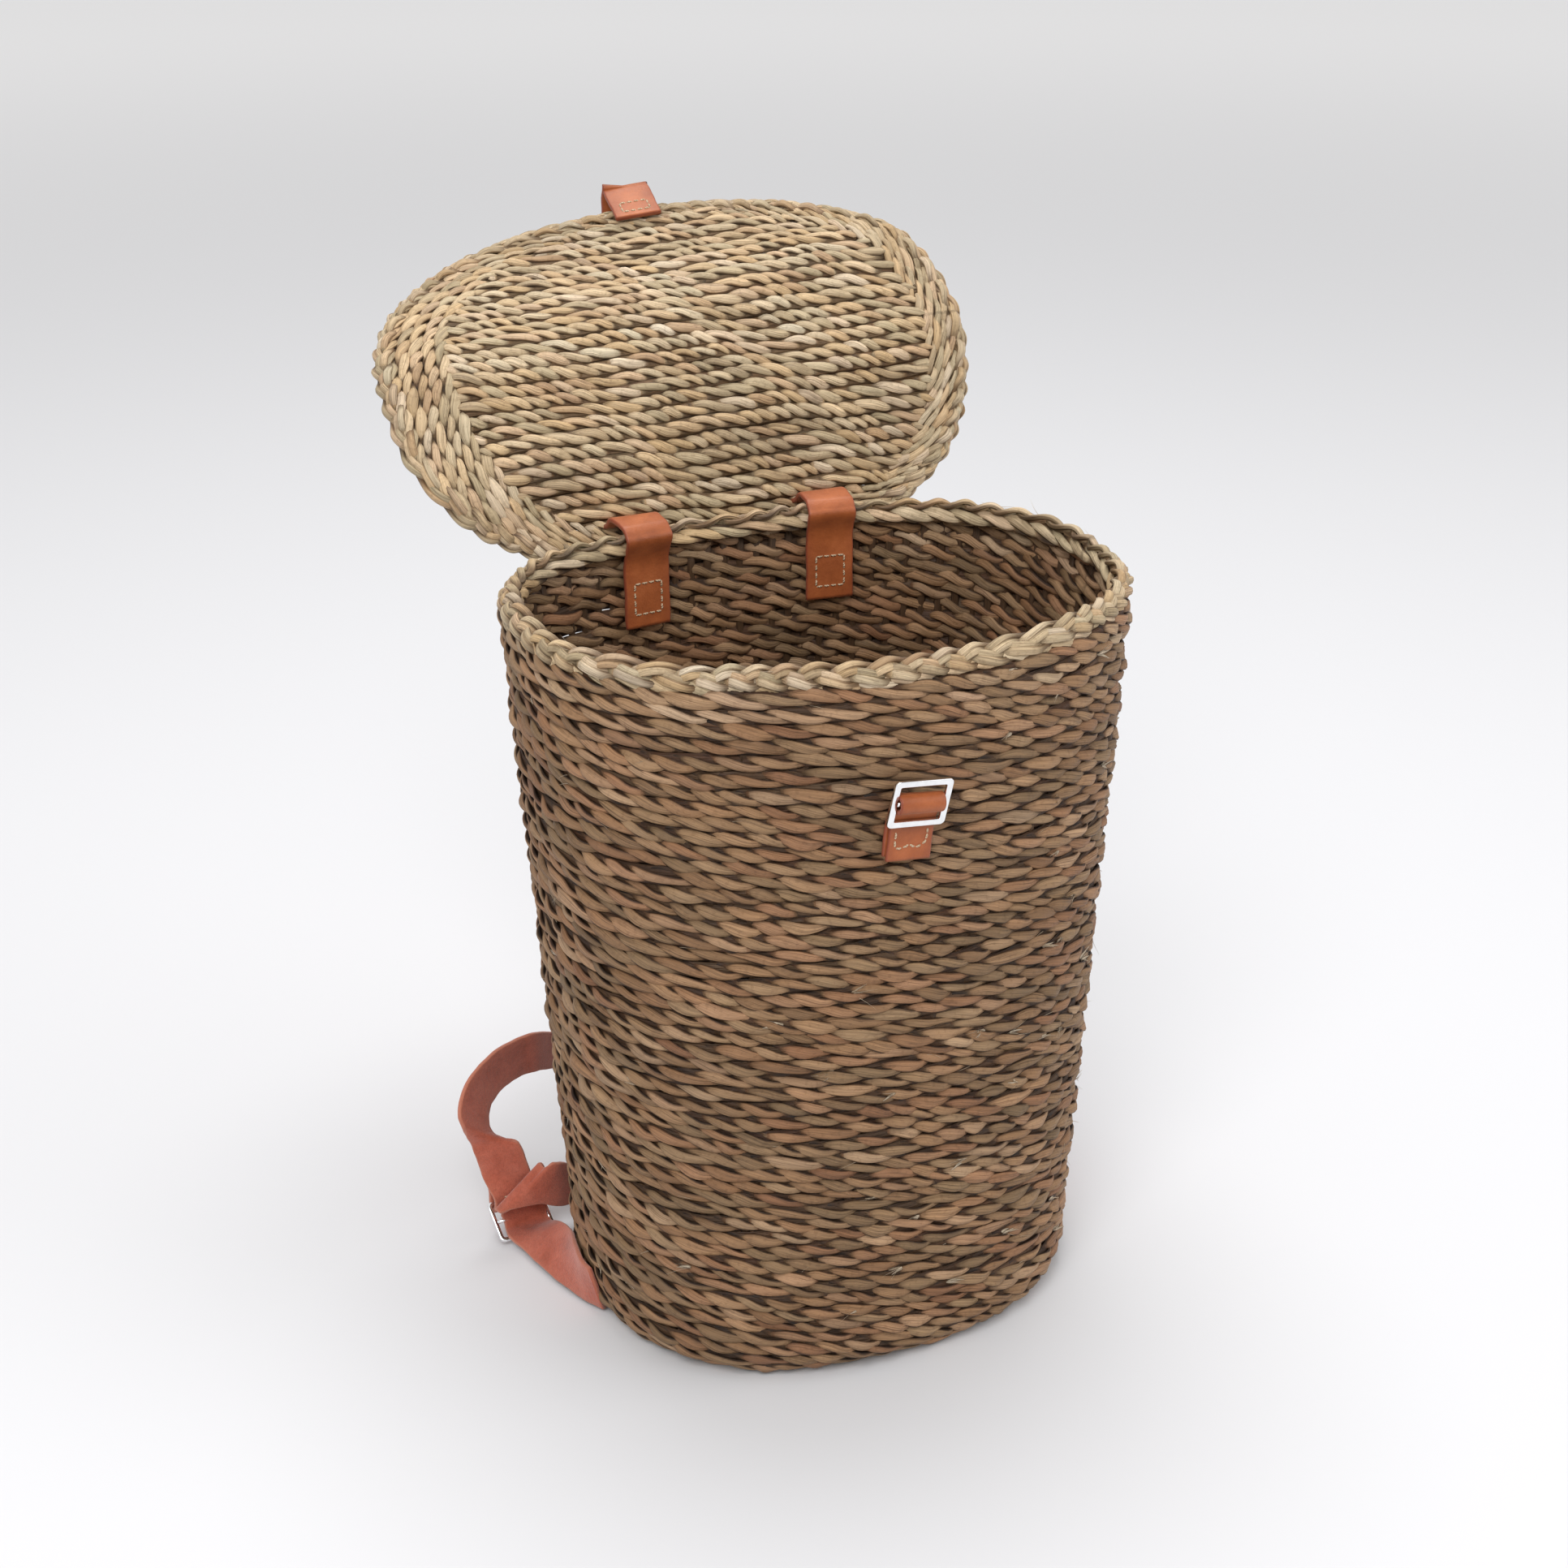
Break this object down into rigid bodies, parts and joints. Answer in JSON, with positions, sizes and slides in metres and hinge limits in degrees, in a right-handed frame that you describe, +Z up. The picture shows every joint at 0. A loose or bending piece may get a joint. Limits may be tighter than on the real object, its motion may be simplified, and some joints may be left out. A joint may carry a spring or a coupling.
{
  "type": "pack basket",
  "caption": "Tapered oval pack basket of twined seagrass with a hinged lid, a leather closing strap, a metal buckle and leather shoulder straps with metal slides.",
  "frame": {"origin": "on the floor under the middle of the basket's base", "axes": "+Z up, -Y to the front with the buckle, +Y to the back with the lid hinge and the shoulder straps, +X to the right seen from the front"},
  "size_m": [0.3388, 0.4015, 0.5098],
  "materials": {
    "seagrass": "matt twined plant fibre",
    "pale_seagrass": "matt twined plant fibre, paler",
    "hinge_leather": "smooth satin",
    "strap_leather": "suede side out",
    "bright_metal": "polished",
    "cream_thread": "waxed thread"
  },
  "bodies": {
    "basket": {"basket_wall": "seagrass", "basket_base": "seagrass", "rim_braid": "pale_seagrass", "hinge_strap_left": "hinge_leather", "hinge_strap_right": "hinge_leather", "hinge_thread_left": "cream_thread", "hinge_thread_right": "cream_thread", "front_tab": "hinge_leather", "front_thread": "cream_thread", "shoulder_top_tab_left": "strap_leather", "shoulder_top_tab_right": "strap_leather", "top_thread_left": "cream_thread", "top_thread_right": "cream_thread", "shoulder_base_tab_left": "strap_leather", "shoulder_base_tab_right": "strap_leather"},
    "lid_rear": {"lid_panel_rear": "pale_seagrass", "lid_border_rear": "pale_seagrass", "hinge_strap_lid_left": "hinge_leather", "hinge_strap_lid_right": "hinge_leather", "lid_thread_left": "cream_thread", "lid_thread_right": "cream_thread"},
    "lid_middle": {"lid_panel_middle": "pale_seagrass", "lid_border_left": "pale_seagrass", "lid_border_right": "pale_seagrass"},
    "lid_front": {"lid_panel_front": "pale_seagrass", "lid_border_front": "pale_seagrass", "closing_strap_end": "hinge_leather", "closing_thread": "cream_thread"},
    "closing_strap": {"closing_strap": "hinge_leather"},
    "front_buckle": {"front_buckle": "bright_metal"},
    "strap_left": {"shoulder_strap_upper_left": "strap_leather", "shoulder_strap_lower_left": "strap_leather", "shoulder_slide_left": "bright_metal", "fold_thread_left": "cream_thread"},
    "strap_right": {"shoulder_strap_upper_right": "strap_leather", "shoulder_strap_lower_right": "strap_leather", "shoulder_slide_right": "bright_metal", "fold_thread_right": "cream_thread"}
  },
  "joints": [
    {"name": "lid_hinge", "type": "hinge", "parent": "basket", "child": "lid_rear", "pos_m": [0, 0.1047, 0.3649], "axis": [1, 0, 0], "range_deg": [0, 111]},
    {"name": "lid_rear_bend", "type": "hinge", "parent": "lid_rear", "child": "lid_middle", "pos_m": [0.00316, 0.14729, 0.41417], "axis": [0.982, 0.0678, 0.1765], "range_deg": [0, 23]},
    {"name": "lid_front_bend", "type": "hinge", "parent": "lid_middle", "child": "lid_front", "pos_m": [-0.00763, 0.18998, 0.45781], "axis": [0.982, 0.0678, 0.1765], "range_deg": [0, 23]},
    {"name": "closing_strap_swing", "type": "hinge", "parent": "lid_front", "child": "closing_strap", "pos_m": [0.00843, 0.27408, 0.50843], "axis": [0.9891, -0.1067, 0.1017], "range_deg": [-12, 188]},
    {"name": "buckle_pivot", "type": "hinge", "parent": "basket", "child": "front_buckle", "pos_m": [-0.01052, -0.12032, 0.30943], "axis": [0.9949, 0, -0.1011], "range_deg": [-45, 0]},
    {"name": "strap_left_swing", "type": "hinge", "parent": "basket", "child": "strap_left", "pos_m": [-0.0825, 0.07059, 0.13506], "axis": [0.3355, 0.3576, 0.8715], "range_deg": [0, 18]},
    {"name": "strap_right_swing", "type": "hinge", "parent": "basket", "child": "strap_right", "pos_m": [0.0825, 0.07059, 0.13506], "axis": [0.3355, -0.3576, -0.8715], "range_deg": [0, 18]}
  ],
  "couplings": [
    {"joint": "lid_rear_bend", "follows": "lid_hinge", "ratio": 0.2072},
    {"joint": "lid_front_bend", "follows": "lid_hinge", "ratio": 0.2072}
  ]
}
